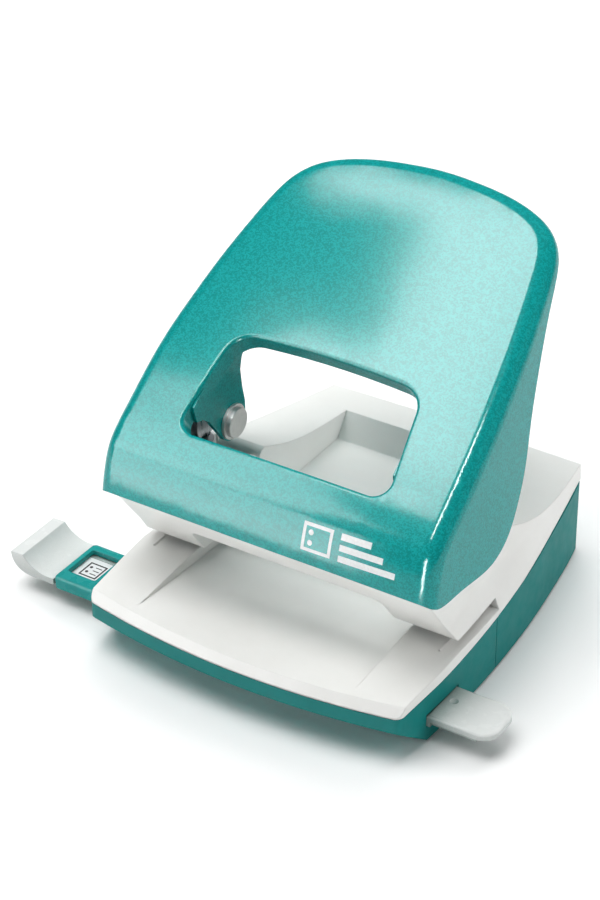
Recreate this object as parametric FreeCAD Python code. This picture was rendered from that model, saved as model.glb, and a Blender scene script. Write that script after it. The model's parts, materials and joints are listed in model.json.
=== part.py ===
import FreeCAD, Part
import math
import os

# Two-hole desk punch for thirty sheets, with a stamped steel lever.
# Millimetres.  +X to the right, +Y away from the user, +Z up.
# Origin: on the resting plane, midway between the two punch pins.

V = FreeCAD.Vector

# ---- driving dimensions ------------------------------------------------------------
HOLE_SPACING = 80.0          # centre distance of the two punched holes
PIN_X = HOLE_SPACING / 2.0
PIN_DIA = 5.5                # punched hole diameter
PAPER_EDGE = 11.4            # from the hole centres to the paper stop
TABLE_Z = 20.4               # paper plane between the dies and the guides
THROAT_Z = 23.6              # underside of the upper housing over the paper
PUNCH_TRAVEL = 10.3          # pin travel for the full lever stroke

FLOOR_GAP = 0.8              # underside of the base above the resting plane
BASE_SIDE = [(-40.4, 50.8), (-31.0, 51.3), (-21.0, 51.9), (-8.0, 52.1), (6.0, 51.9),
             (20.0, 51.2), (35.0, 49.9), (52.0, 47.6), (64.0, 45.7), (76.0, 43.2)]
FRONT_BULGE_Y = -45.8        # centre of the curved front edge
REAR_BULGE_Y = 77.2          # centre of the slightly curved rear edge
RIM = [(-60.0, 15.3), (-46.0, 15.5), (-16.0, 16.3), (10.0, 18.1), (35.0, 20.6),
       (52.0, 22.7), (60.0, 23.5), (90.0, 23.7)]
LIP_Z = 11.0                 # underside of the front lip
LIP_UNDERCUT = 13.0          # how far the front slants back under the lip
WALL = 2.2
SEAM_Y = 10.0                # parting line between the base and the chip tray
GAP = 0.3                    # running gap between moving plastic faces

FOOT_Y = (0.0, 64.0)         # rubber strips under the base
FOOT_HALF_LENGTH = 34.0
FOOT_WIDTH = 9.0

PIVOT_Y = -16.0              # lever pivot
PIVOT_Z = 52.0
PIVOT_DIA = 6.0
DRIVE_Y = 4.6                # drive rivet with the lever up
DRIVE_Z = 57.6
DRIVE_DIA = 4.0

SHEET = 1.5                  # steel sheet of the lever
DRAW_ANGLE = 35.0            # drawing direction of the stamping, from vertical
LEVER_ROUND = 5.2
LEVER_PROFILE = [(-33.5, 35.1), (-32.0, 42.1), (-31.2, 47.6), (-29.8, 53.4), (-26.9, 60.5),
                 (-22.3, 65.4), (-17.0, 69.5), (-10.6, 74.4), (0.1, 82.2), (11.6, 89.5),
                 (26.6, 98.5), (40.1, 106.2), (50.0, 111.5), (62.0, 117.5), (76.0, 123.9)]
LEVER_OUTLINE = [(53.8, -26.0), (53.7, -11.0), (53.4, 9.0), (53.2, 29.0), (52.6, 47.0),
                 (51.3, 61.0), (49.3, 77.0), (47.0, 90.4), (45.1, 99.6), (42.4, 107.1),
                 (37.7, 112.9), (31.6, 116.5), (21.4, 119.6), (10.2, 121.2)]
LEVER_OUTLINE_TOP = 121.8
LEVER_LOWER_EDGE = [(-28.9, 45.7), (-24.5, 43.7), (-15.0, 42.6), (-4.0, 41.1), (3.8, 41.0),
                    (8.2, 42.4), (12.0, 44.9), (17.0, 51.4), (22.4, 61.4), (26.2, 72.1),
                    (30.3, 81.1), (37.2, 91.8), (44.5, 99.9), (53.0, 106.5), (60.0, 110.7)]
LEVER_FRONT_EDGE_Z = 48.2
LEVER_CROWN = 1.7

WINDOW_LOW = 22.4            # window edges along the drawn face
WINDOW_HIGH = 55.1
WINDOW_HALF_LOW = 33.4
WINDOW_HALF_HIGH = 29.4
WINDOW_FLANGE = 6.0
WINDOW_EDGE = 1.1            # outer rounding of the window's edge
LUG_X = 31.6                 # inner face of the two lugs bent down from the window

HOUSING_TOP = [(-27.5, 46.0), (0.0, 45.4), (9.0, 44.5), (17.0, 42.3), (24.0, 39.4),
               (34.0, 35.6), (47.0, 32.7), (60.0, 30.9), (90.0, 28.2)]
HOUSING_UPPER_SIDE = [(-27.5, 50.3), (-12.0, 50.2), (-3.0, 49.6), (5.0, 48.6), (12.0, 47.8),
                      (19.0, 47.5), (26.0, 47.8), (36.0, 48.2), (46.0, 47.6), (58.0, 46.0),
                      (76.0, 42.8)]
FLARE_LOW_Z = 20.0
FLARE_HIGH_Z = 29.6
PAN_HALF = 30.6              # open recess between the two shoulders
PAN_FLOOR_Z = 23.2
PAN_BACK_Y = 58.5
DECK_Y = 64.5
SHOULDER_Y = 16.2            # front end of the closed shoulders
LEG_INNER_X = 31.2
LEG_WALL_TOP_Z = 40.0
ARCH_Z = 33.6

RECESS_HALF = 35.3           # sunk middle of the paper table

BRACKET_IN = 33.8            # inner cheek of the steel bracket
BRACKET_OUT = 46.2
BRACKET_SHEET = 1.6
PLATE_Z = 11.4               # underside of the bracket foot
LAND_Z = 14.4                # underside of the table where it covers the bracket
DIE_IN = 35.7
DIE_OUT = 44.3
DIE_FRONT = -5.0
DIE_REAR = 5.0

GUIDE_Y0 = -27.4             # sliding paper guide
GUIDE_Y1 = -11.8
GUIDE_Z0 = 5.6
GUIDE_Z1 = 7.6
TAB_Z1 = 9.2
FRAME_X = 72.4


# ---- geometry helpers --------------------------------------------------------------
def box(x0, x1, y0, y1, z0, z1):
    return Part.makeBox(x1 - x0, y1 - y0, z1 - z0, V(x0, y0, z0))


def cyl(x, y, z0, z1, dia):
    return Part.makeCylinder(dia / 2.0, z1 - z0, V(x, y, z0))


def rod_x(x0, x1, y, z, dia):
    return Part.makeCylinder(dia / 2.0, x1 - x0, V(x0, y, z), V(1, 0, 0))


def spline(points):
    curve = Part.BSplineCurve()
    curve.interpolate(points)
    return curve.toShape()


def slab_yz(points, x0, x1):
    # straight-sided prism along X from a closed (y, z) polygon
    wire = Part.makePolygon([V(x0, y, z) for y, z in points + points[:1]])
    return Part.Face(wire).extrude(V(x1 - x0, 0, 0))


def under_curve(points, z_low, x0, x1):
    # prism along X below a smooth (y, z) curve
    line = [V(x0, y, z) for y, z in points]
    low_a = V(x0, points[-1][0], z_low)
    low_b = V(x0, points[0][0], z_low)
    rest = Part.makePolygon([line[-1], low_a, low_b, line[0]])
    wire = Part.Wire([spline(line)] + rest.Edges)
    return Part.Face(wire).extrude(V(x1 - x0, 0, 0))


def mirrored(shape):
    return shape.mirror(V(0, 0, 0), V(1, 0, 0))


def both(shape):
    return shape.fuse(mirrored(shape))


def fuse(shapes):
    body = shapes[0]
    for other in shapes[1:]:
        body = body.fuse(other)
    return body.removeSplitter()


def plan_face(side, front_y, rear_y, z):
    right = [V(x, y, z) for y, x in side]
    left = [V(-x, y, z) for y, x in side]
    rear = Part.Arc(right[-1], V(0, rear_y, z), left[-1]).toShape()
    front = Part.Arc(left[0], V(0, front_y, z), right[0]).toShape()
    return Part.Face(Part.Wire([spline(right), rear, spline(left[::-1]), front]))


def plan_prism(inset, z0, z1, corner=3.0):
    # the barrel-shaped footprint, moved inwards by inset
    side = [(y, x - inset) for y, x in BASE_SIDE]
    side[0] = (side[0][0] + inset, side[0][1])
    side[-1] = (side[-1][0] - inset, side[-1][1])
    face = plan_face(side, FRONT_BULGE_Y + inset, REAR_BULGE_Y - inset, z0)
    solid = face.extrude(V(0, 0, z1 - z0))
    upright = [e for e in solid.Edges if abs(e.tangentAt(e.FirstParameter).z) > 0.99]
    return solid.makeFillet(max(corner - inset * 0.5, 1.0), upright)


def front_curve_block(z0, z1, shift0, shift1, rear=120.0):
    # everything behind the curved front edge, slanting from shift0 to shift1
    half = BASE_SIDE[0][1]
    y_side = BASE_SIDE[0][0]
    y_mid = FRONT_BULGE_Y
    slope = (y_side - y_mid) / (half * half)
    wide = 75.0
    a = V(-wide, y_mid + slope * wide * wide + shift0, z0)
    b = V(wide, y_mid + slope * wide * wide + shift0, z0)
    arc = Part.Arc(a, V(0, y_mid + shift0, z0), b).toShape()
    rest = Part.makePolygon([b, V(wide, rear, z0), V(-wide, rear, z0), a])
    face = Part.Face(Part.Wire([arc] + rest.Edges))
    return face.extrude(V(0, shift1 - shift0, z1 - z0))


def drawn_prism(points_xs, top_s, depth=120.0):
    # symmetric outline in the drawn face of the lever, swept along the draw direction
    right = [V(x, s, 0) for x, s in points_xs]
    left = [V(-x, s, 0) for x, s in points_xs]
    line = spline(right + [V(0, top_s, 0)] + left[::-1])
    wire = Part.Wire([line, Part.makeLine(left[0], right[0])])
    face = Part.Face(wire)
    face.translate(V(0, 0, -depth))
    solid = face.extrude(V(0, 0, 2 * depth))
    solid.rotate(V(0, 0, 0), V(1, 0, 0), DRAW_ANGLE)
    return solid


# ---- base ----------------------------------------------------------------------------
def base_outer(inset, z_low):
    body = plan_prism(inset, z_low, 30.0)
    above = front_curve_block(LIP_Z, 40.0, inset, inset)
    slant = front_curve_block(z_low, LIP_Z, LIP_UNDERCUT + inset, inset)
    return body.common(above.fuse(slant))


def guide_slot(z1):
    return box(-60, 60, GUIDE_Y0 - GAP, GUIDE_Y1 + GAP, GUIDE_Z0 - GAP, z1 + GAP)


def make_base_shell():
    rim = under_curve(RIM, -5.0, -70, 70)
    front = box(-70, 70, -60, SEAM_Y, 0, 40)
    shell = base_outer(0.0, FLOOR_GAP).common(rim).common(front)
    shell = shell.cut(base_outer(WALL, FLOOR_GAP + 1.8))
    floor = plan_prism(2.7, FLOOR_GAP, FLOOR_GAP + 1.6).common(box(-70, 70, -20, 90, 0, 9))
    tunnel = box(-60, 60, GUIDE_Y0 - 1.9, GUIDE_Y1 + 1.9, FLOOR_GAP, TAB_Z1 + 1.6)
    seat_in = both(box(25.6, 31.2, -9.0, 9.0, FLOOR_GAP, PLATE_Z))
    seat_out = both(box(46.8, 60, -9.0, 9.0, FLOOR_GAP, PLATE_Z))
    posts = both(cyl(20, 18, FLOOR_GAP, 11.8, 8.0))
    inside = base_outer(WALL * 0.4, FLOOR_GAP)
    shell = fuse([shell, floor, tunnel.common(inside), seat_in, seat_out.common(inside), posts])
    shell = shell.cut(guide_slot(GUIDE_Z1)).cut(guide_slot(TAB_Z1).common(box(0, 60, -60, 60, 0, 30)))
    shell = shell.cut(guide_slot(TAB_Z1).common(box(-46, 46, -60, 60, 0, 30)))
    shell = shell.cut(both(cyl(20, 18, 0, 12, 3.2))).cut(both(cyl(20, 18, 0, 3.4, 6.2)))
    for x in (28.4, -28.4):
        for y in (-5.0, 5.0):
            shell = shell.cut(cyl(x, y, 3.2, PLATE_Z + 1, 2.7))
    for y in FOOT_Y:
        shell = shell.cut(foot_strip(y, 0.1))
    shell = shell.cut(frame_socket())
    return shell


def foot_strip(y, grow):
    half = FOOT_WIDTH / 2.0 + grow
    strip = box(-FOOT_HALF_LENGTH - grow, FOOT_HALF_LENGTH + grow, y - half, y + half, 0, FLOOR_GAP + 0.6)
    return strip.makeFillet(half - 0.05, [e for e in strip.Edges if e.BoundBox.ZLength > 1.0])


def make_feet():
    # two non-slip strips let into the underside
    strips = []
    for y in FOOT_Y:
        strip = foot_strip(y, 0.0)
        low = [e for e in strip.Edges if e.BoundBox.ZMax < 0.01]
        strips.append(strip.makeFillet(0.3, low))
    return Part.makeCompound(strips)


def make_chip_tray():
    rim = under_curve(RIM, -5.0, -70, 70)
    rear = box(-70, 70, SEAM_Y + GAP, 100, 0, 40)
    shell = plan_prism(0.0, FLOOR_GAP, 30.0).common(rim).common(rear)
    inner = plan_prism(WALL, 0.0, 30.0)
    shell = shell.cut(inner)
    bin_plan = plan_prism(WALL - 0.4, 2.8, 12.0)
    bin_box = bin_plan.common(box(-70, 70, 23.6, 100, 2.8, 12.0))
    tongues = both(box(31.8, 46.2, -7.0, 24.0, 2.8, 10.6))
    hollow_bin = plan_prism(WALL, 4.2, 13.0).common(box(-70, 70, 25.0, 100, 4.2, 13.0))
    hollow_tongues = both(box(33.2, 44.8, -5.6, 26.0, 4.2, 12.0))
    body = fuse([shell, bin_box, tongues])
    body = body.cut(hollow_bin).cut(hollow_tongues)
    grip = Part.makeCylinder(30.0, 34.0, V(-17, REAR_BULGE_Y + 28.6, 11.0), V(1, 0, 0))
    return body.cut(grip)


# ---- paper table -----------------------------------------------------------------------
def make_paper_table():
    edge_gap = 0.15
    rim_low = under_curve([(y, z + edge_gap) for y, z in RIM], -5.0, -70, 70)
    top = slab_yz([(-60, 17.2), (-37.0, 18.6), (-11.0, TABLE_Z), (60, TABLE_Z), (60, 5), (-60, 5)], -70, 70)
    front = box(-70, 70, -60, PAPER_EDGE - 0.2, 0, 40)
    upper = plan_prism(0.0, 13.2, 30.0).common(top).common(front)
    bevel = front_curve_block(15.6, 18.8, 0.0, 2.9)
    low_part = front_curve_block(5.0, 15.6, 0.0, 0.0)
    high_part = front_curve_block(18.8, 30.0, 2.9, 2.9)
    upper = upper.common(low_part.fuse(bevel).fuse(high_part))
    upper = upper.cut(rim_low)
    lower = plan_prism(WALL + 0.3, 13.2, 24.0).common(top).common(front)
    body = upper.fuse(lower).removeSplitter()
    sunk = slab_yz([(-38.5, 18.6), (PAPER_EDGE, 15.4), (PAPER_EDGE, 30), (-38.5, 30)], -RECESS_HALF, RECESS_HALF)
    body = body.cut(sunk)
    under_land = box(BRACKET_IN - GAP, BRACKET_OUT + GAP, -9.4, PAPER_EDGE, 5, LAND_Z)
    die_way = box(DIE_IN - 0.1, DIE_OUT + 0.1, DIE_FRONT - 0.1, DIE_REAR + 0.1, 5, 30)
    body = body.cut(both(under_land)).cut(both(die_way))
    rib = box(46.9, 47.5, -13.8, -6.6, 17.0, TABLE_Z + 0.25)
    return body.fuse(both(rib)).removeSplitter()


# ---- upper housing ---------------------------------------------------------------------
def housing_block(inset, drop):
    side = [(y, x - inset) for y, x in HOUSING_UPPER_SIDE]
    side[0] = (-60.0, side[0][1])
    side[-1] = (side[-1][0] - inset, side[-1][1])
    top = plan_face(side, -62.0, REAR_BULGE_Y - 0.4 - inset, FLARE_HIGH_Z)
    upper = top.extrude(V(0, 0, 40))
    base_side = [(y, x - inset) for y, x in BASE_SIDE]
    base_side[0] = (-60.0, base_side[0][1])
    base_side[-1] = (base_side[-1][0] - inset, base_side[-1][1])
    foot = plan_face(base_side, -62.0, REAR_BULGE_Y - inset, FLARE_LOW_Z)
    column = plan_face(base_side, -62.0, REAR_BULGE_Y - inset, 5.0).extrude(V(0, 0, FLARE_LOW_Z - 5.0))
    flare = Part.makeLoft([foot.OuterWire, top.OuterWire], True, True)
    block = fuse([column, flare, upper])
    return block.common(under_curve([(y, z - drop) for y, z in HOUSING_TOP], 0.0, -70, 70))


def front_plane_block(shift):
    # everything behind the sloping front face of the housing
    return slab_yz([(-27.5 + shift, 46.0), (-9.6 + shift, 21.6), (-9.6 + shift, 0), (120, 0),
                    (120, 80), (-52.5 + shift, 80)], -80, 80)


def pan_block(grow):
    return slab_yz([(-40, PAN_FLOOR_Z - grow), (PAN_BACK_Y + grow, PAN_FLOOR_Z - grow),
                    (DECK_Y + grow, 31.5), (DECK_Y + grow + 3, 80), (-40, 80)],
                   -PAN_HALF - grow, PAN_HALF + grow)


def shoulder_crest():
    # rounds the front top edge of both shoulders between the outer walls
    rise = 38.4
    reach = 3.0
    corner = box(-45.0, 45.0, SHOULDER_Y - 0.5, SHOULDER_Y + reach, rise, 50)
    return corner.cut(rod_x(-50, 50, SHOULDER_Y + reach, rise, 2 * reach))


def make_top_housing():
    seam = 0.2
    block = housing_block(0.0, 0.0).common(front_plane_block(0.0))
    rim_low = under_curve([(y, z + seam) for y, z in RIM], -5.0, -70, 70)
    rim_low = rim_low.cut(box(-PAN_HALF - 3.0, PAN_HALF + 3.0, 30.0, 70.0, 0, 60))
    block = block.cut(rim_low).cut(box(-70, 70, -60, PAPER_EDGE, 0, THROAT_Z))
    shell_wall = 2.2
    inner = housing_block(shell_wall, shell_wall).common(box(-70, 70, SHOULDER_Y + 2.0, 100, 0, 60))
    inner = inner.fuse(housing_block(shell_wall, 0.0).common(box(-70, 70, PAPER_EDGE + 2.0, SHOULDER_Y + 3, 0, 24.0)))
    inner = inner.cut(pan_block(2.0))
    body = block.cut(inner).cut(shoulder_crest())
    body = body.cut(pan_block(0.0).common(box(-70, 70, SHOULDER_Y - 3.0, 100, 0, 80)))
    # the front half is an open trough behind the sloping face
    trough = housing_block(shell_wall, -20.0).common(front_plane_block(2.7))
    trough = trough.common(box(-70, 70, -60, SHOULDER_Y, THROAT_Z + 2.0, 80))
    legs = both(box(LEG_INNER_X, LEG_INNER_X + 2.0, -60, SHOULDER_Y, 0, LEG_WALL_TOP_Z))
    body = body.cut(trough.cut(legs))
    centre = front_plane_block(2.7).common(box(-LEG_INNER_X, LEG_INNER_X, -60, PAPER_EDGE, 0, 80))
    body = body.cut(centre)
    arch = box(-LEG_INNER_X, LEG_INNER_X, -60, 0, 0, ARCH_Z)
    upright = [e for e in arch.Edges if e.BoundBox.XLength < 0.01 and e.BoundBox.ZMin > ARCH_Z - 0.01]
    body = body.cut(arch.makeFillet(3.0, upright))
    bracket_way = both(box(BRACKET_IN - 0.4, BRACKET_OUT + 0.4, -10.0, SHOULDER_Y - 0.4, 0, THROAT_Z + 10))
    body = body.cut(bracket_way)
    posts = both(cyl(20, 18, 12.0, PAN_FLOOR_Z - 1.0, 8.0)).cut(both(cyl(20, 18, 10, 20, 2.6)))
    body = body.fuse(posts).removeSplitter()
    return body


# ---- steel punching units --------------------------------------------------------------
def cheek_outline(x0):
    lower = [(-9.0, PLATE_Z), (15.0, PLATE_Z), (15.0, 33.0), (-7.6, 34.0), (-9.6, 52.0)]
    upper = [(-21.9, 51.0), (-13.6, 33.0), (-9.0, THROAT_Z + 0.2), (PAPER_EDGE + 0.2, THROAT_Z + 0.2),
             (PAPER_EDGE + 0.2, LAND_Z - GAP), (-9.0, LAND_Z - GAP)]
    plate = slab_yz(lower + upper, x0, x0 + BRACKET_SHEET)
    boss = rod_x(x0, x0 + BRACKET_SHEET, PIVOT_Y, PIVOT_Z, 12.4)
    return plate.fuse(boss).removeSplitter()


def make_bracket():
    inner = cheek_outline(BRACKET_IN)
    outer = cheek_outline(BRACKET_OUT - BRACKET_SHEET)
    foot = box(25.8, 49.2, -8.8, 8.8, PLATE_Z, PLATE_Z + BRACKET_SHEET)
    guide_low = box(BRACKET_IN, BRACKET_OUT, -8.0, 8.0, THROAT_Z + 0.2, THROAT_Z + 2.7)
    guide_high = box(BRACKET_IN, BRACKET_OUT, -7.0, 8.0, 31.0, 33.0)
    spine = box(BRACKET_IN, BRACKET_OUT, 13.4, 15.0, PLATE_Z, 33.0)
    body = fuse([inner, outer, foot, guide_low, guide_high, spine])
    body = body.cut(cyl(PIN_X, 0, THROAT_Z, 34, PIN_DIA + 0.1))
    body = body.cut(cyl(PIN_X, 0, PLATE_Z - 1, PLATE_Z + 3, 8.0))
    body = body.cut(rod_x(20, 60, PIVOT_Y, PIVOT_Z, PIVOT_DIA + 0.12))
    for y in (-5.0, 5.0):
        body = body.cut(cyl(28.4, y, PLATE_Z - 1, PLATE_Z + 3, 3.0))
        body = body.cut(Part.makeCone(1.5, 2.9, 1.4, V(28.4, y, PLATE_Z + 0.2)))
    return body


def make_die():
    block = box(DIE_IN, DIE_OUT, DIE_FRONT, DIE_REAR, PLATE_Z + BRACKET_SHEET, TABLE_Z)
    block = block.cut(cyl(PIN_X, 0, TABLE_Z - 3.0, TABLE_Z + 1, PIN_DIA + 0.1))
    return block.cut(cyl(PIN_X, 0, PLATE_Z, TABLE_Z - 3.0, PIN_DIA + 1.0))


def make_punch_pin():
    tip = THROAT_Z + 0.6
    head_z0 = DRIVE_Z - 4.2
    shaft = cyl(PIN_X, 0, tip, head_z0 + 0.5, PIN_DIA)
    hollow = Part.makeCylinder(4.2, PIN_DIA * 2, V(PIN_X - PIN_DIA, 0, tip - 3.4), V(1, 0, 0))
    shaft = shaft.cut(hollow)
    head = box(PIN_X - 2.6, PIN_X + 2.6, -4.0, 9.6, head_z0, DRIVE_Z + 4.2)
    upright = [e for e in head.Edges if e.BoundBox.XLength > 5.0]
    head = head.makeFillet(3.0, upright)
    neck = Part.makeCone(PIN_DIA / 2.0, PIN_DIA / 2.0 + 0.7, 1.5, V(PIN_X, 0, head_z0 - 1.5))
    reach = DRIVE_DIA / 2.0 + 0.12
    slot_a = rod_x(PIN_X - 5, PIN_X + 5, DRIVE_Y - 0.1, DRIVE_Z, 2 * reach)
    slot_b = rod_x(PIN_X - 5, PIN_X + 5, DRIVE_Y + 0.9, DRIVE_Z, 2 * reach)
    middle = box(PIN_X - 5, PIN_X + 5, DRIVE_Y - 0.1, DRIVE_Y + 0.9, DRIVE_Z - reach, DRIVE_Z + reach)
    body = fuse([shaft, neck, head])
    return body.cut(slot_a).cut(slot_b).cut(middle)


def make_spring_collar():
    top = DRIVE_Z - 4.2 - 1.6
    ring = cyl(PIN_X, 0, top - 1.2, top, 9.0)
    edges = [e for e in ring.Edges if e.Length > 20]
    ring = ring.makeFillet(0.3, edges)
    return ring.cut(cyl(PIN_X, 0, top - 3, top + 3, PIN_DIA))


def make_punch_spring():
    wire_dia = 1.1
    mean_radius = 3.75
    z0 = 33.0 + 0.1
    z1 = DRIVE_Z - 4.2 - 1.6 - 1.2 - 0.1
    height = z1 - z0 - wire_dia
    helix = Part.makeLongHelix(height / 6.0, height, mean_radius)
    helix.translate(V(PIN_X, 0, z0 + wire_dia / 2.0))
    start = V(PIN_X + mean_radius, 0, z0 + wire_dia / 2.0)
    section = Part.Wire(Part.Circle(start, V(0, 1, 0), wire_dia / 2.0).toShape())
    return Part.Wire(helix.Edges).makePipeShell([section], True, True)


def make_pivot_stud():
    shaft = rod_x(BRACKET_IN - 0.4, 50.0, PIVOT_Y, PIVOT_Z, PIVOT_DIA)
    end = [e for e in shaft.Edges if e.BoundBox.XMax < BRACKET_IN]
    shaft = shaft.makeChamfer(0.4, end)
    flange = rod_x(49.4, 51.2, PIVOT_Y, PIVOT_Z, 9.0)
    return shaft.fuse(flange).cut(lever_solid_outside()).removeSplitter()


def make_drive_rivet():
    head = rod_x(LUG_X - 2.3, LUG_X - 0.9, DRIVE_Y, DRIVE_Z, 9.0)
    front = [e for e in head.Edges if e.BoundBox.XMax < LUG_X - 2.2]
    head = head.makeFillet(0.35, front)
    shaft = rod_x(LUG_X - 1.0, PIN_X + 3.9, DRIVE_Y, DRIVE_Z, DRIVE_DIA)
    lip = rod_x(PIN_X + 3.0, PIN_X + 3.9, DRIVE_Y, DRIVE_Z, 6.2)
    return fuse([head, shaft, lip])


def make_rivet_washer():
    ring = rod_x(LUG_X - 0.9, LUG_X - 0.05, DRIVE_Y, DRIVE_Z, 10.6)
    return ring.cut(rod_x(LUG_X - 3, LUG_X + 3, DRIVE_Y, DRIVE_Z, DRIVE_DIA + 0.1))


# ---- lever -----------------------------------------------------------------------------
def profile_wire(x, offset):
    # closed section under the lever face, moved along the draw direction by offset
    rad = math.radians(DRAW_ANGLE)
    line = [V(x, y - offset * math.sin(rad) * 1.15, z + offset * math.cos(rad)) for y, z in LEVER_PROFILE]
    last = line[-1]
    first = line[0]
    rest = Part.makePolygon([last, V(x, last.y, 30.0), V(x, first.y, 30.0), first])
    return Part.Wire([spline(line)] + rest.Edges)


def under_face(offset):
    stations = [(-60.0, -0.25), (-40.0, 0.5), (-20.0, 0.9), (0.0, 1.0), (20.0, 0.9), (40.0, 0.5), (60.0, -0.25)]
    wires = [profile_wire(x, offset + LEVER_CROWN * (share - 0.45)) for x, share in stations]
    return Part.makeLoft(wires, True, False)


def inset_outline(points, inset):
    # each outline point moved inwards, square to the outline
    ends = points[:1] + points + [(-points[-1][0], points[-1][1])]
    moved = []
    for (xa, sa), (x, s), (xb, sb) in zip(ends, points, ends[2:]):
        run = math.hypot(xb - xa, sb - sa)
        moved.append((x - inset * (sb - sa) / run, s + inset * (xb - xa) / run))
    return moved


def rounded_lever(inset):
    outline = inset_outline(LEVER_OUTLINE, inset)
    solid = under_face(-inset).common(drawn_prism(outline, LEVER_OUTLINE_TOP - inset))
    edges = []
    for edge in solid.Edges:
        mid = edge.valueAt((edge.FirstParameter + edge.LastParameter) / 2.0)
        near = edge.BoundBox.ZMax > 100.0 and edge.BoundBox.ZMin < 60.0 and edge.Length > 100.0
        if near and abs(mid.x) < 60.0 and edge.BoundBox.ZLength > 40.0:
            edges.append(edge)
    return solid.makeFillet(LEVER_ROUND - inset, edges)


def lower_cut():
    edge = [V(-80, y, z) for y, z in LEVER_LOWER_EDGE]
    first = edge[0]
    last = edge[-1]
    chain = [last, V(-80, 90, last.z + 14.0), V(-80, 130, 0), V(-80, -80, 0),
             V(-80, -80, LEVER_FRONT_EDGE_Z), V(-80, first.y - 2.8, LEVER_FRONT_EDGE_Z), first]
    wire = Part.Wire([spline(edge)] + Part.makePolygon(chain).Edges)
    return Part.Face(wire).extrude(V(160, 0, 0))


def window_outline(grow):
    low = WINDOW_LOW - grow
    high = WINDOW_HIGH + grow
    half_low = WINDOW_HALF_LOW + grow
    half_high = WINDOW_HALF_HIGH + grow
    corner = [V(-half_low, low, 0), V(half_low, low, 0), V(half_high, high - 1.3, 0), V(-half_high, high - 1.3, 0)]
    top = Part.Arc(corner[2], V(0, high, 0), corner[3]).toShape()
    rest = Part.makePolygon([corner[3], corner[0], corner[1], corner[2]])
    face = Part.Face(Part.Wire([top] + rest.Edges))
    face.translate(V(0, 0, -20.0))
    solid = face.extrude(V(0, 0, 120.0))
    upright = [e for e in solid.Edges if e.BoundBox.ZLength > 100.0]
    high_edges = [e for e in upright if e.BoundBox.YMin > 40.0]
    low_edges = [e for e in upright if e.BoundBox.YMin < 40.0]
    solid = solid.makeFillet(8.0 + grow, high_edges)
    low_edges = [e for e in solid.Edges if e.BoundBox.ZLength > 100.0 and e.BoundBox.YMax < WINDOW_LOW + 1.0]
    solid = solid.makeFillet(5.0 + grow, low_edges)
    solid.rotate(V(0, 0, 0), V(1, 0, 0), DRAW_ANGLE)
    return solid


def make_lug():
    # plate bent down from the side of the window, ending round the drive rivet
    outline = [(-13.2, 70.0), (-12.0, 65.8), (-9.1, 65.0), (-6.4, 63.0), (-3.6, 59.3), (0.2, 54.2),
               (DRIVE_Y + 0.6, DRIVE_Z), (11.4, DRIVE_Z), (11.3, 61.0), (10.1, 66.3), (9.4, 72.0),
               (10.2, 75.6), (13.0, 80.0), (13.0, 90.0), (-13.2, 90.0)]
    plate = slab_yz(outline, LUG_X, LUG_X + SHEET)
    end = rod_x(LUG_X, LUG_X + SHEET, DRIVE_Y + 0.6, DRIVE_Z, 12.4)
    return plate.fuse(end)


def window_rim(block):
    # edges between the window and the outer face
    edges = []
    for edge in block.Edges:
        size = edge.BoundBox
        if abs(size.XMin) < 36.0 and abs(size.XMax) < 36.0 and size.ZMin > 60.0 and size.ZMax < 92.0:
            edges.append(edge)
    return edges


def make_handle():
    block = rounded_lever(0.0).cut(window_outline(0.0))
    block = block.makeFillet(WINDOW_EDGE, window_rim(block))
    shell = block.cut(rounded_lever(SHEET)).cut(lower_cut())
    flange = window_outline(SHEET).common(block).cut(under_face(-WINDOW_FLANGE))
    lugs = both(make_lug()).common(under_face(-1.4))
    body = shell.fuse(flange).fuse(lugs).removeSplitter()
    return body.cut(rod_x(-60, 60, DRIVE_Y, DRIVE_Z, DRIVE_DIA).common(box(-36, 36, -60, 60, 0, 99)))


def lever_solid_outside():
    # material of the lever outside its inner skin, on the right-hand side
    return box(40, 70, -40, 20, 30, 80).cut(rounded_lever(SHEET + 0.02))


# ---- paper guide -----------------------------------------------------------------------
def frame_socket():
    return box(-54.0, -48.0, GUIDE_Y0 - 2.2, GUIDE_Y1 + 2.6, GUIDE_Z0 - 0.2, TAB_Z1 + 0.4).common(
        box(-54.0, -50.2, -60, 60, 0, 30))


def make_guide_frame():
    y0 = GUIDE_Y0 - 2.0
    y1 = GUIDE_Y1 + 2.4
    top = GUIDE_Z1 + 1.8
    body = box(-FRAME_X, -50.4, y0, y1, GUIDE_Z0, top)
    outer = [e for e in body.Edges if e.BoundBox.ZLength > 3.0 and e.BoundBox.XMax < -60.0]
    body = body.makeFillet(1.6, outer)
    front_top = [e for e in body.Edges if e.BoundBox.YMax < y0 + 0.1 and e.BoundBox.ZMin > top - 0.1]
    body = body.makeFillet(1.0, front_top)
    body = body.cut(box(-80, 0, GUIDE_Y0 - GAP, GUIDE_Y1 + GAP, GUIDE_Z0 - GAP, GUIDE_Z1 + GAP))
    window = box(-FRAME_X + 2.0, -60.6, y0 + 4.4, y1 - 3.2, 5, 12)
    upright = [e for e in window.Edges if e.BoundBox.ZLength > 5.0]
    return body.cut(window.makeFillet(0.8, upright))


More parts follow.
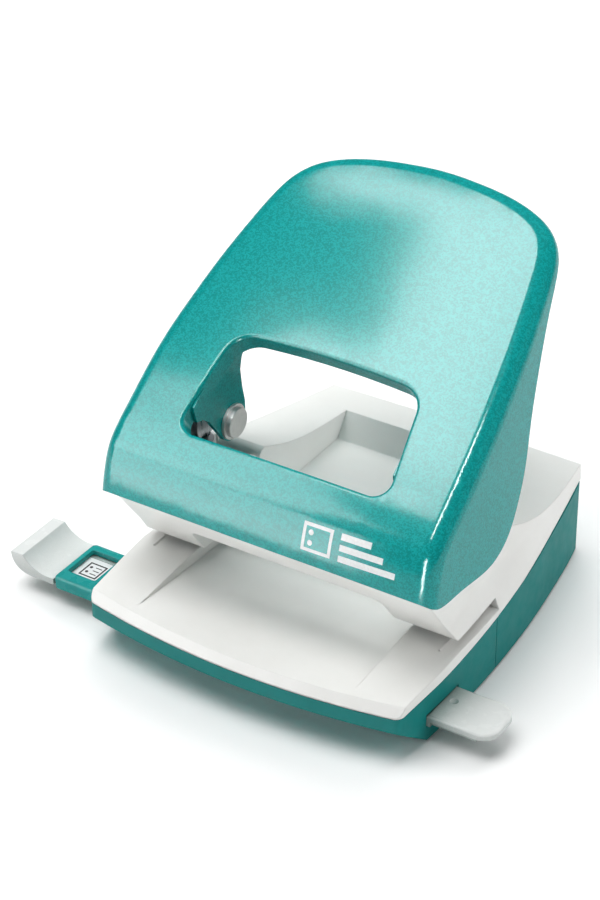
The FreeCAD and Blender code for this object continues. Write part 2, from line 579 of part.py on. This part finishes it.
def make_paper_guide():
    strip = box(-FRAME_X - 1.0, 52.5, GUIDE_Y0, GUIDE_Y1, GUIDE_Z0, GUIDE_Z1)
    strip = strip.cut(box(-FRAME_X + 1.0, -20.0, GUIDE_Y0 + 3.0, GUIDE_Y1 - 2.0, GUIDE_Z1 - 0.3, GUIDE_Z1 + 1))
    tab_plan = box(51.4, 71.0, GUIDE_Y0, GUIDE_Y1, GUIDE_Z1 - 0.4, TAB_Z1)
    ends = [e for e in tab_plan.Edges if e.BoundBox.ZLength > 1.0 and e.BoundBox.XMin > 70.0]
    tab_plan = tab_plan.makeFillet(5.2, ends)
    rims = [e for e in tab_plan.Edges if e.BoundBox.ZMin > TAB_Z1 - 0.05]
    tab_plan = tab_plan.makeFillet(0.7, rims)
    ledge = box(51.4, 66.0, GUIDE_Y0 + 1.2, GUIDE_Y1 - 1.2, GUIDE_Z0, GUIDE_Z1)
    dimple = Part.makeSphere(2.2, V(54.6, -18.2, TAB_Z1 + 1.8))
    body = fuse([strip, tab_plan, ledge]).cut(dimple)
    return body.fuse(make_guide_stop()).removeSplitter()


def make_guide_stop():
    # curled end that the sheet edge rests against
    x0 = -FRAME_X - 0.6
    top = [(x0, GUIDE_Z1), (x0 - 3.0, GUIDE_Z1), (x0 - 6.5, 8.6), (x0 - 9.0, 10.2), (x0 - 10.8, 12.2)]
    low = [(x0 - 15.0, 12.0), (x0 - 14.6, 9.4), (x0 - 13.0, 7.2), (x0 - 9.6, 5.8), (x0 - 5.0, GUIDE_Z0), (x0, GUIDE_Z0)]
    y0 = GUIDE_Y0 - 1.2
    y1 = GUIDE_Y1 + 3.4
    upper = spline([V(x, y0, z) for x, z in top[1:]])
    under = spline([V(x, y0, z) for x, z in low[:-1]])
    edges = [Part.makeLine(V(top[0][0], y0, top[0][1]), V(top[1][0], y0, top[1][1])), upper,
             Part.makeLine(V(top[-1][0], y0, top[-1][1]), V(low[0][0], y0, low[0][1])), under,
             Part.makeLine(V(low[-2][0], y0, low[-2][1]), V(low[-1][0], y0, low[-1][1])),
             Part.makeLine(V(low[-1][0], y0, low[-1][1]), V(top[0][0], y0, top[0][1]))]
    return Part.Face(Part.Wire(edges)).extrude(V(0, y1 - y0, 0))


def make_format_label():
    return box(-FRAME_X + 1.1, -20.1, GUIDE_Y0 + 3.1, GUIDE_Y1 - 2.1, GUIDE_Z1 - 0.28, GUIDE_Z1 - 0.05)


# ---- fasteners -------------------------------------------------------------------------
def make_housing_screws():
    screws = []
    for x in (20.0, -20.0):
        head = cyl(x, 18, 1.6, 3.4, 5.6)
        shank = cyl(x, 18, 3.4, 19.0, 2.5)
        drive = cyl(x, 18, 1.0, 2.6, 2.2)
        screws.append(head.fuse(shank).cut(drive).removeSplitter())
    return Part.makeCompound(screws)


def make_bracket_screws():
    screws = []
    for x in (28.4, -28.4):
        for y in (-5.0, 5.0):
            head = Part.makeCone(1.35, 2.7, 1.3, V(x, y, PLATE_Z + 0.2))
            shank = cyl(x, y, 4.0, PLATE_Z + 0.3, 2.6)
            slot = box(x - 1.6, x + 1.6, y - 0.3, y + 0.3, PLATE_Z + 0.9, PLATE_Z + 2)
            screws.append(head.fuse(shank).cut(slot).removeSplitter())
    return Part.makeCompound(screws)


def write(name, shape):
    shape.exportStep(os.path.join("parts", name + ".step"))


def main():
    os.makedirs("parts", exist_ok=True)
    write("base_shell", make_base_shell())
    write("chip_tray", make_chip_tray())
    write("feet", make_feet())
    write("paper_table", make_paper_table())
    write("top_housing", make_top_housing())
    write("handle", make_handle())
    sided = {"bracket": make_bracket(), "die": make_die(), "punch_pin": make_punch_pin(),
             "spring_collar": make_spring_collar(), "punch_spring": make_punch_spring(),
             "pivot_stud": make_pivot_stud(), "drive_rivet": make_drive_rivet(),
             "rivet_washer": make_rivet_washer()}
    for name, shape in sided.items():
        write(name + "_right", shape)
        write(name + "_left", mirrored(shape))
    write("guide_frame", make_guide_frame())
    write("paper_guide", make_paper_guide())
    write("format_label", make_format_label())
    write("housing_screws", make_housing_screws())
    write("bracket_screws", make_bracket_screws())


main()
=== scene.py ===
import bmesh
import bpy
import json
import math
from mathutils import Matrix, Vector
from mathutils.bvhtree import BVHTree


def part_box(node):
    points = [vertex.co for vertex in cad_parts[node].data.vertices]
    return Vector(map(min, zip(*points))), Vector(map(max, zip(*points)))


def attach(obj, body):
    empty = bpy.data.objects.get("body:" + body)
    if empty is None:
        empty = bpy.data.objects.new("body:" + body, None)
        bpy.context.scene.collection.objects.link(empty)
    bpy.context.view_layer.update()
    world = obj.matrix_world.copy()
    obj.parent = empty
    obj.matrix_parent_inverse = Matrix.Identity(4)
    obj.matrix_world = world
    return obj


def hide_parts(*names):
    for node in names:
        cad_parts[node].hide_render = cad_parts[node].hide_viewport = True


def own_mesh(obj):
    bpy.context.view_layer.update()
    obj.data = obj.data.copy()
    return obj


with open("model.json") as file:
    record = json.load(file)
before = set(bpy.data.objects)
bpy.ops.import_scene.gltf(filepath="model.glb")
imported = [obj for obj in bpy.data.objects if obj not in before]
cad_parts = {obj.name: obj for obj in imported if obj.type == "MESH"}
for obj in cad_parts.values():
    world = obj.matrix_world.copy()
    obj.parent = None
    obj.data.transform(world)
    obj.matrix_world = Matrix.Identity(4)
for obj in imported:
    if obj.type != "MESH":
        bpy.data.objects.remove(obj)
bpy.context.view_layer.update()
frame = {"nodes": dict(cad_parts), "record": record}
MM = 0.001

CAMERA_AZIMUTH = math.radians(31.96)
CAMERA_ELEVATION = math.radians(33.16)
CAMERA_DISTANCE = 0.7003
CAMERA_TARGET = Vector((0.0, 0.014, 0.045))
CAMERA_SHIFT = (-0.0504, 0.0284)

PANEL_RADIANCE = 16.0       # of the large panels that the lever's clear coat mirrors
OVERHEAD_Z = 1.0
STAGE_REACH = 4.0           # half the width of the floor, and the radius of the wall round it
GROUND_AIM = (0.0, 0.0, 0.05)

FLAKES_PER_METRE = 2600.0
WELD_DISTANCE = 0.000002
SHARP_ANGLE = math.radians(28.0)
PRINT_THICKNESS = 0.04      # of the printed marks, in millimetres
PRINT_STEP = 1.5            # longest edge of a mark's faces, in millimetres


# ---- camera ------------------------------------------------------------------------
def make_camera():
    back = Vector((math.sin(CAMERA_AZIMUTH) * math.cos(CAMERA_ELEVATION),
                   -math.cos(CAMERA_AZIMUTH) * math.cos(CAMERA_ELEVATION),
                   math.sin(CAMERA_ELEVATION)))
    data = bpy.data.cameras.new("camera")
    data.lens = 100.0
    data.sensor_width = 36.0
    data.shift_x, data.shift_y = CAMERA_SHIFT
    data.clip_start = 0.01
    data.clip_end = 20.0
    camera = bpy.data.objects.new("camera", data)
    camera.location = CAMERA_TARGET + back * CAMERA_DISTANCE
    camera.rotation_mode = "QUATERNION"
    camera.rotation_quaternion = (-back).to_track_quat("-Z", "Y")
    bpy.context.scene.collection.objects.link(camera)
    bpy.context.scene.camera = camera


# ---- stage and light ---------------------------------------------------------------
def soft_panel(name, centre, aim, width, height, radiance, shows_in):
    """A rectangle of light that shows only in gloss or only in matt surfaces."""
    data = bpy.data.lights.new(name, "AREA")
    data.shape = "RECTANGLE"
    data.size = width
    data.size_y = height
    data.energy = radiance * math.pi * width * height
    light = bpy.data.objects.new(name, data)
    light.location = centre
    light.rotation_euler = (Vector(aim) - Vector(centre)).to_track_quat("-Z", "Y").to_euler()
    light.visible_camera = False
    light.visible_diffuse = shows_in == "matt"
    light.visible_glossy = shows_in == "gloss"
    bpy.context.scene.collection.objects.link(light)


def overhead(radiance, x0, x1, y0, y1):
    """A level panel above the punch."""
    x, y = (x0 + x1) / 2.0, (y0 + y1) / 2.0
    soft_panel("overhead", (x, y, OVERHEAD_Z), (x, y, 0.0), x1 - x0, y1 - y0, radiance, "gloss")


def upright(name, x, y, z, width, height, radiance):
    """A panel in front of the punch that faces straight back."""
    soft_panel(name, (x, y, z), (x, 0.0, z), width, height, radiance, "gloss")


def fading_white(fade_start, fade_end):
    """White that is clear near the origin and fades in with the distance from it."""
    material = bpy.data.materials.new("surroundings")
    material.use_nodes = True
    tree = material.node_tree
    tree.nodes.clear()
    place = tree.nodes.new("ShaderNodeTexCoord")
    distance = tree.nodes.new("ShaderNodeVectorMath")
    distance.operation = "LENGTH"
    fade = tree.nodes.new("ShaderNodeMapRange")
    fade.interpolation_type = "SMOOTHSTEP"
    fade.inputs["From Min"].default_value = fade_start
    fade.inputs["From Max"].default_value = fade_end
    clear = tree.nodes.new("ShaderNodeBsdfTransparent")
    white = tree.nodes.new("ShaderNodeEmission")
    blend = tree.nodes.new("ShaderNodeMixShader")
    result = tree.nodes.new("ShaderNodeOutputMaterial")
    tree.links.new(place.outputs["Object"], distance.inputs[0])
    tree.links.new(distance.outputs["Value"], fade.inputs["Value"])
    tree.links.new(fade.outputs["Result"], blend.inputs["Fac"])
    tree.links.new(clear.outputs["BSDF"], blend.inputs[1])
    tree.links.new(white.outputs["Emission"], blend.inputs[2])
    tree.links.new(blend.outputs["Shader"], result.inputs["Surface"])
    return material


def pale_surroundings():
    """The far floor and the wall behind it, evenly white, seen by the camera only."""
    height, lift, sides = 4.0, 0.0004, 48
    turns = [2.0 * math.pi * k / sides for k in range(sides)]
    low = [(STAGE_REACH * math.cos(t), STAGE_REACH * math.sin(t), lift) for t in turns]
    high = [(x, y, height) for x, y, _ in low]
    wall = [(k, (k + 1) % sides, (k + 1) % sides + sides, k + sides) for k in range(sides)]
    mesh = bpy.data.meshes.new("surroundings")
    mesh.from_pydata(low + high, [], [tuple(range(sides))] + wall)
    mesh.materials.append(fading_white(0.45, 0.95))
    around = bpy.data.objects.new("surroundings", mesh)
    for kind in ("diffuse", "glossy", "transmission", "volume_scatter", "shadow"):
        setattr(around, "visible_" + kind, False)
    bpy.context.scene.collection.objects.link(around)


def make_floor():
    half = STAGE_REACH
    mesh = bpy.data.meshes.new("floor")
    corners = [(-half, -half, 0), (half, -half, 0), (half, half, 0), (-half, half, 0)]
    mesh.from_pydata(corners, [], [(0, 1, 2, 3)])
    floor = bpy.data.objects.new("floor", mesh)
    bpy.context.scene.collection.objects.link(floor)
    material = bpy.data.materials.new("floor")
    material.use_nodes = True
    shader = material.node_tree.nodes["Principled BSDF"]
    shader.inputs["Base Color"].default_value = (0.93, 0.93, 0.93, 1)
    shader.inputs["Roughness"].default_value = 0.7
    mesh.materials.append(material)


def mirror_overhead():
    """Panels above, round a dark gap that shows as the deep patch on the lever."""
    overhead(PANEL_RADIANCE, -0.43, -0.21, -0.43, 0.19)
    overhead(PANEL_RADIANCE, -0.60, -0.43, 0.12, 0.19)
    overhead(PANEL_RADIANCE, -0.57, -0.43, -0.34, -0.11)


def mirror_left():
    """The bright zone in front on the left: two layers of unequal length fade it to the right."""
    far_end, wall_inset, near_reach, near_slope = 2.2, 0.06, 0.34, 0.14
    upright_share = 0.56
    for share in (0.46, 0.58):
        overhead(PANEL_RADIANCE / 2.0, -1.40, -share, -1.00, -0.34)
        width = far_end - share - wall_inset
        x = -(far_end + share + wall_inset) / 2.0
        upright("left_wall", x, -1.0, 0.715, width, 0.57, PANEL_RADIANCE * upright_share)
        width = near_reach - share * near_slope
        x = -(near_reach + share * near_slope) / 2.0
        upright("left_low", x, -0.26, 0.0715, width, 0.143, PANEL_RADIANCE * upright_share)


def mirror_right_edge():
    """Narrow strips for the highlight along the right-hand rounding of the lever."""
    overhead(50.0, 0.09, 0.21, -0.67, -0.17)
    upright("edge_low", 0.15, -0.30, 0.08, 0.05, 0.16, 40.0)


def matt_light():
    """Broad even light that shapes the plastics."""
    soft_panel("right_fill", (1.25, 0.40, 0.60), GROUND_AIM, 1.0, 1.0, 2.6, "matt")
    soft_panel("ceiling", (-0.32, -0.28, 1.5), (0.0, 0.0, 0.0), 1.2, 1.2, 4.6, "matt")
    soft_panel("rear_high", (-0.1, 1.0, 1.3), GROUND_AIM, 1.2, 0.9, 3.2, "matt")
    soft_panel("rear_low", (-1.1, 0.9, 0.75), GROUND_AIM, 1.2, 0.9, 2.0, "matt")
    soft_panel("front_fill", (-0.4, -1.6, 0.7), GROUND_AIM, 1.4, 0.9, 0.35, "matt")


def make_lights():
    world = bpy.data.worlds.new("studio")
    world.use_nodes = True
    background = world.node_tree.nodes["Background"]
    background.inputs["Color"].default_value = (1, 1, 1, 1)
    background.inputs["Strength"].default_value = 0.07
    bpy.context.scene.world = world
    mirror_overhead()
    mirror_left()
    mirror_right_edge()
    matt_light()
    bpy.context.scene.view_settings.view_transform = "Standard"


# ---- materials ---------------------------------------------------------------------
class Nodes:
    """Small helper round one material's node tree."""

    def __init__(self, name):
        self.material = bpy.data.materials.new(name)
        self.material.use_nodes = True
        self.tree = self.material.node_tree
        self.shader = self.tree.nodes["Principled BSDF"]
        self.place = self.add("ShaderNodeTexCoord").outputs["Object"]

    def add(self, kind, **settings):
        node = self.tree.nodes.new(kind)
        for key, value in settings.items():
            setattr(node, key, value)
        return node

    def link(self, a, b):
        self.tree.links.new(a, b)

    def set(self, **values):
        for key, value in values.items():
            self.shader.inputs[key.replace("_", " ")].default_value = value

    def noise(self, scale, detail=2.0, rough=0.5):
        node = self.add("ShaderNodeTexNoise")
        node.inputs["Scale"].default_value = scale
        node.inputs["Detail"].default_value = detail
        node.inputs["Roughness"].default_value = rough
        self.link(self.place, node.inputs["Vector"])
        return node.outputs["Fac"]

    def cells(self, scale):
        node = self.add("ShaderNodeTexVoronoi")
        node.inputs["Scale"].default_value = scale
        self.link(self.place, node.inputs["Vector"])
        return node.outputs["Color"]

    def spread(self, value, low, high, start=0.3, end=0.7):
        """Maps start to end, the span where a noise has most of its values, to low to high."""
        node = self.add("ShaderNodeMapRange")
        node.inputs["From Min"].default_value = start
        node.inputs["From Max"].default_value = end
        node.inputs["To Min"].default_value = low
        node.inputs["To Max"].default_value = high
        self.link(value, node.inputs["Value"])
        return node.outputs["Result"]

    def paint(self, factor, dark, light):
        """Links the base colour to a blend; a Mix node's colours are its inputs 6 and 7, output 2."""
        node = self.add("ShaderNodeMix", data_type="RGBA")
        node.inputs[6].default_value = (*dark, 1)
        node.inputs[7].default_value = (*light, 1)
        self.link(factor, node.inputs[0])
        self.link(node.outputs[2], self.shader.inputs["Base Color"])

    def bump(self, height, strength, distance, normal=None):
        node = self.add("ShaderNodeBump")
        node.inputs["Strength"].default_value = strength
        node.inputs["Distance"].default_value = distance
        self.link(height, node.inputs["Height"])
        if normal is not None:
            self.link(normal, node.inputs["Normal"])
        return node.outputs["Normal"]

    def soft_edge(self, radius):
        node = self.add("ShaderNodeBevel", samples=4)
        node.inputs["Radius"].default_value = radius
        return node.outputs["Normal"]


def flake_paint():
    """Metallic flakes, each with its own tone, gloss and tilt, under a clear coat."""
    n = Nodes("lever_paint")
    n.set(Metallic=0.05, Specular_IOR_Level=0.0, Coat_Weight=0.6, Coat_Roughness=0.14, Coat_IOR=1.52)
    flake = n.add("ShaderNodeSeparateColor")
    n.link(n.cells(FLAKES_PER_METRE), flake.inputs["Color"])
    tone, gloss, tilt = flake.outputs
    n.paint(n.spread(tone, 0.2, 0.8), (0.001, 0.195, 0.188), (0.006, 0.345, 0.335))
    n.link(n.spread(gloss, 0.42, 0.50), n.shader.inputs["Roughness"])
    flakes = n.bump(tilt, 0.06, 0.00003)
    peel = n.bump(n.noise(420.0), 0.02, 0.00005, flakes)
    n.link(peel, n.shader.inputs["Normal"])
    return n.material


def moulded_skin(name, roughness, grain, edge):
    """The surface of a moulding, without its colour: patchy gloss, fine grain and soft edges."""
    n = Nodes(name)
    n.set(Specular_IOR_Level=0.13)
    n.link(n.spread(n.noise(260.0, 3.0), roughness - 0.05, roughness + 0.05), n.shader.inputs["Roughness"])
    n.link(n.bump(n.noise(3800.0), grain, 0.00006, n.soft_edge(edge)), n.shader.inputs["Normal"])
    return n


def moulded(name, dark, light, roughness, grain, edge):
    n = moulded_skin(name, roughness, grain, edge)
    n.paint(n.spread(n.noise(45.0, 4.0, 0.6), 0.0, 1.0), dark, light)
    return n.material


def guide_plastic():
    """Cloudy clear plastic, with painted shade: ambient occlusion darkens its base colour in the hollows.
    """
    n = moulded_skin("guide_plastic", 0.25, 0.05, 0.0003)
    n.set(Coat_Weight=0.3, Coat_Roughness=0.1)
    # painted shade: the ambient occlusion factor blends the base colour from dark in concave hollows, such
    # as the stop's inner curl, to light on open faces
    painted_shade_ao = n.add("ShaderNodeAmbientOcclusion", samples=8)
    painted_shade_ao.inputs["Distance"].default_value = 0.016
    n.paint(n.spread(painted_shade_ao.outputs["AO"], 0.0, 1.0, 0.45, 0.95), (0.20, 0.26, 0.24), (0.70, 0.72, 0.71))
    return n.material


def steel(name, color, roughness, brush, along):
    """Brushed steel; along stretches the brush lines."""
    n = Nodes(name)
    n.set(Metallic=1.0)
    stretch = n.add("ShaderNodeMapping")
    n.link(n.place, stretch.inputs["Vector"])
    stretch.inputs["Scale"].default_value = along
    n.place = stretch.outputs["Vector"]
    lines = n.noise(brush, 3.0, 0.6)
    n.paint(n.spread(lines, 0.0, 1.0), tuple(c * 0.86 for c in color), color)
    n.link(n.spread(lines, roughness - 0.07, roughness + 0.07), n.shader.inputs["Roughness"])
    n.link(n.bump(lines, 0.12, 0.00003, n.soft_edge(0.0002)), n.shader.inputs["Normal"])
    return n.material


def film():
    n = Nodes("label_film")
    n.set(Roughness=0.3, Coat_Weight=0.5)
    n.paint(n.spread(n.noise(300.0), 0.0, 1.0), (0.70, 0.72, 0.72), (0.78, 0.80, 0.80))
    return n.material


def ink(name, color):
    n = Nodes(name)
    n.set(Roughness=0.4)
    n.paint(n.spread(n.noise(1500.0, 3.0), 0.0, 1.0), tuple(c * 0.88 for c in color), color)
    return n.material


def assign(mesh_object, material):
    mesh_object.data.materials.clear()
    mesh_object.data.materials.append(material)


# dark tone, light tone, roughness, grain, radius of the edges
PLASTICS = {
    "white_plastic": ((0.80, 0.80, 0.775), (0.84, 0.84, 0.82), 0.38, 0.10, 0.0006),
    "teal_plastic": ((0.003, 0.175, 0.165), (0.005, 0.200, 0.190), 0.50, 0.25, 0.0005),
    "frame_plastic": ((0.012, 0.26, 0.25), (0.016, 0.29, 0.275), 0.28, 0.06, 0.0004),
    "foot_rubber": ((0.030, 0.030, 0.031), (0.045, 0.045, 0.046), 0.75, 0.3, 0.0003),
}
# color, roughness, fineness of the brush lines, their stretch
STEELS = {
    "zinc_steel": ((0.60, 0.61, 0.62), 0.32, 700.0, (1.0, 0.12, 1.0)),
    "tool_steel": ((0.45, 0.46, 0.48), 0.30, 900.0, (1.0, 1.0, 0.1)),
    "spring_steel": ((0.50, 0.51, 0.53), 0.28, 1200.0, (1.0, 1.0, 1.0)),
    "rivet_steel": ((0.66, 0.65, 0.64), 0.46, 900.0, (0.15, 1.0, 1.0)),
    "screw_steel": ((0.50, 0.50, 0.51), 0.35, 900.0, (1.0, 1.0, 1.0)),
}


def make_materials():
    """One material for each of the CAD's material slots."""
    made = {"lever_paint": flake_paint(), "guide_plastic": guide_plastic(), "label_film": film()}
    for name, look in PLASTICS.items():
        made[name] = moulded(name, *look)
    for name, look in STEELS.items():
        made[name] = steel(name, *look)
    return made


def dress_nodes():
    """Gives every CAD node its material, and smooth faces with crisp edges."""
    made = make_materials()
    for sub in frame["record"]["subparts"]:
        node = frame["nodes"][sub["node"]]
        assign(node, made[sub["material_slot"]])
        node.data.shade_smooth()
        weld = node.modifiers.new("weld", "WELD")
        weld.merge_threshold = WELD_DISTANCE
        split = node.modifiers.new("split", "EDGE_SPLIT")
        split.split_angle = SHARP_ANGLE
        even = node.modifiers.new("even", "WEIGHTED_NORMAL")
        even.mode = "FACE_AREA"
        even.weight = 90
        even.keep_sharp = True


# ---- return springs ----------------------------------------------------------------
def flexing_spring(side):
    """The coil under the pin's collar: a copy of the CAD spring with its own mesh, hung on the base in
    place of the CAD node.
    """
    node = frame["nodes"]["punch_spring_" + side]
    spring = bpy.data.objects.new("return_coil_" + side, node.data.copy())
    bpy.context.scene.collection.objects.link(spring)
    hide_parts("punch_spring_" + side)
    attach(spring, "base")
    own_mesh(spring)


# ---- printed marks -----------------------------------------------------------------
def bar(u0, u1, v0, v1):
    """Rows of surface points of a printed bar, in millimetres."""
    columns = max(1, round((u1 - u0) / PRINT_STEP))
    rows = max(1, round((v1 - v0) / PRINT_STEP))
    return [[(u0 + (u1 - u0) * i / columns, v0 + (v1 - v0) * j / rows) for i in range(columns + 1)]
            for j in range(rows + 1)]


def disc(u, v, radius):
    """The same for a round dot: rings of points from the rim to the middle."""
    sides = 20
    turns = [2.0 * math.pi * k / sides for k in range(sides + 1)]
    return [[(u + radius * share * math.cos(t), v + radius * share * math.sin(t)) for t in turns]
            for share in (1.0, 0.5, 0.02)]


def page_outline(u0, u1, v0, v1, line):
    """The four edges of a printed sheet of paper."""
    return [bar(u0, u1, v0, v0 + line), bar(u0, u1, v1 - line, v1),
            bar(u0, u0 + line, v0 + line, v1 - line), bar(u1 - line, u1, v0 + line, v1 - line)]


def print_marks(name, grids, place, body, material):
    """One piece of printed marks; place turns a mark's coordinates into a point."""
    mesh = bmesh.new()
    for grid in grids:
        points = [[mesh.verts.new(place(u, v)) for u, v in row] for row in grid]
        for low_row, high_row in zip(points, points[1:]):
            for a, b, c, d in zip(low_row, low_row[1:], high_row[1:], high_row):
                mesh.faces.new((a, b, c, d))
    data = bpy.data.meshes.new(name)
    mesh.to_mesh(data)
    mesh.free()
    marks = bpy.data.objects.new(name, data)
    bpy.context.scene.collection.objects.link(marks)
    data.materials.append(material)
    thick = marks.modifiers.new("thick", "SOLIDIFY")
    thick.thickness = PRINT_THICKNESS * MM
    thick.offset = 0.0
    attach(marks, body)


def print_label():
    """On the guide's label: a small punched page with three lines, and a scale."""
    low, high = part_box("format_label")
    x0 = low.x / MM + 2.6
    y0 = low.y / MM + 1.9
    page_width, page_height, line = 6.0, 6.6, 0.5
    hole_radius, text_height = 0.5, 0.35
    scale_start, scale_pitch, scale_line = 10.0, 3.2, 0.4
    long_tick, short_tick = 3.4, 1.8
    grids = page_outline(x0, x0 + page_width, y0, y0 + page_height, line)
    grids += [disc(x0 + 1.5, y0 + v, hole_radius) for v in (2.1, 4.5)]
    grids += [bar(x0 + 2.9, x0 + 5.0, y0 + v, y0 + v + text_height) for v in (1.5, 3.1, 4.7)]
    for k in range(11):
        x = x0 + scale_start + scale_pitch * k
        grids.append(bar(x, x + scale_line, y0, y0 + (long_tick if k % 5 == 0 else short_tick)))
    surface = high.z + PRINT_THICKNESS / 2.0 * MM

    def place(u, v):
        return Vector((u * MM, v * MM, surface))

    print_marks("label_print", grids, place, "guide", ink("label_ink", (0.022, 0.024, 0.026)))


def print_pictogram():
    """At the lower right of the lever's front: a punched page with three lines of text."""
    node = frame["nodes"]["handle"]
    corners = [v.co for v in node.data.vertices]
    shell = BVHTree.FromPolygons(corners, [p.vertices for p in node.data.polygons])
    low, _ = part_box("handle")
    x0 = low.x / MM + 67.5
    z0 = 51.8
    page_width, page_height, line = 9.0, 7.6, 0.9
    hole_radius = 0.75
    text_start, text_pitch, text_height = 11.4, 2.9, 1.7
    standoff, clearance = 0.015, 0.01
    grids = page_outline(x0, x0 + page_width, z0, z0 + page_height, line)
    grids += [disc(x0 + 2.5, z0 + v, hole_radius) for v in (2.4, 5.2)]
    for row, length in enumerate((17.0, 13.0, 9.0)):
        x, z = x0 + text_start, z0 + text_pitch * row
        grids.append(bar(x, x + length, z, z + text_height))

    def place(u, v):
        start = Vector((u * MM, low.y - clearance, v * MM))
        hit, normal, _, _ = shell.ray_cast(start, Vector((0.0, 1.0, 0.0)))
        if normal.y > 0.0:
            normal = -normal
        return hit + normal * standoff * MM

    print_marks("lever_pictogram", grids, place, "lever", ink("pictogram_ink", (0.82, 0.84, 0.84)))


make_camera()
make_floor()
pale_surroundings()
make_lights()
dress_nodes()
for side in ("left", "right"):
    flexing_spring(side)
print_label()
print_pictogram()
